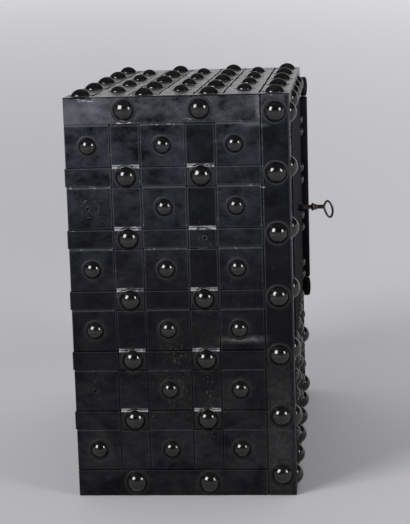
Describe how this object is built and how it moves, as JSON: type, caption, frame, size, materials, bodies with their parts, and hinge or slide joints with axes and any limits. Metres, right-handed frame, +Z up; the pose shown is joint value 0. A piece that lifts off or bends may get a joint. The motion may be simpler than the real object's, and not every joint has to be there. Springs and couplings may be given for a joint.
{
  "type": "studded iron strongbox",
  "caption": "Upright black iron strongbox covered in interlaced flat straps with domed studs, with a plate door on one long barrel hinge and a key that throws the bolts.",
  "frame": {"origin": "centre of the body's base, on the floor; the door, key and studs stand out beyond the body", "axes": "+X across the width, -Y out of the door's face, +Z up"},
  "size_m": [0.866, 0.5202, 0.813],
  "materials": {
    "lacquered_strap": "worn gloss black lacquer",
    "lacquered_stud": "gloss black lacquer",
    "lacquered_door": "worn gloss black lacquer",
    "plate": "dull black",
    "inner_iron": "oiled dark iron",
    "steel": "dull steel",
    "key_iron": "worn dark iron"
  },
  "bodies": {
    "safe": {"side_plate_left": "plate", "side_plate_right": "plate", "back_plate": "plate", "top_plate": "plate", "bottom_plate": "plate", "stile_lock": "plate", "stile_hinge": "plate", "rail_top": "plate", "rail_bottom": "plate", "straps_up_left": "lacquered_strap", "straps_level_left": "lacquered_strap", "straps_up_right": "lacquered_strap", "straps_level_right": "lacquered_strap", "straps_up_front": "lacquered_strap", "straps_level_front": "lacquered_strap", "straps_across_top": "lacquered_strap", "straps_deep_top": "lacquered_strap", "back_bands": "lacquered_strap", "corner_angle_left": "lacquered_strap", "corner_angle_right": "lacquered_strap", "top_angle_left": "lacquered_strap", "top_angle_right": "lacquered_strap", "top_angle_front": "lacquered_strap", "top_strip_back": "lacquered_strap", "bottom_band_left": "lacquered_strap", "bottom_band_right": "lacquered_strap", "bottom_band_front": "lacquered_strap", "studs_big_left": "lacquered_stud", "studs_small_left": "lacquered_stud", "studs_big_right": "lacquered_stud", "studs_small_right": "lacquered_stud", "studs_big_front": "lacquered_stud", "studs_small_front": "lacquered_stud", "studs_big_top": "lacquered_stud", "studs_small_top": "lacquered_stud", "hinge_knuckles": "lacquered_strap", "hinge_pins": "steel", "shelf_ledges": "inner_iron", "shelf": "inner_iron"},
    "door": {"door_slab": "lacquered_door", "door_box": "inner_iron", "door_cover": "inner_iron", "bolt_guides": "inner_iron", "door_rivets": "lacquered_stud", "lock_case": "inner_iron"},
    "bolt_work": {"bolt_bar": "steel", "bolts": "steel"},
    "key": {"key_shaft": "key_iron", "key_collar": "key_iron", "key_bow": "key_iron"}
  },
  "joints": [
    {"name": "door_swing", "type": "hinge", "parent": "safe", "child": "door", "pos_m": [0.3295, -0.228, 0.519], "axis": [0, 0, 1], "range_deg": [0, 110]},
    {"name": "key_turn", "type": "hinge", "parent": "door", "child": "key", "pos_m": [0, -0.2205, 0.519], "axis": [0, 1, 0], "range_deg": [0, 90]},
    {"name": "bolt_throw", "type": "slide", "parent": "door", "child": "bolt_work", "axis": [-1, 0, 0], "range_m": [0, 0.026]}
  ],
  "couplings": [
    {"joint": "key_turn", "follows": "bolt_throw", "rad_per_m": 60.4}
  ]
}
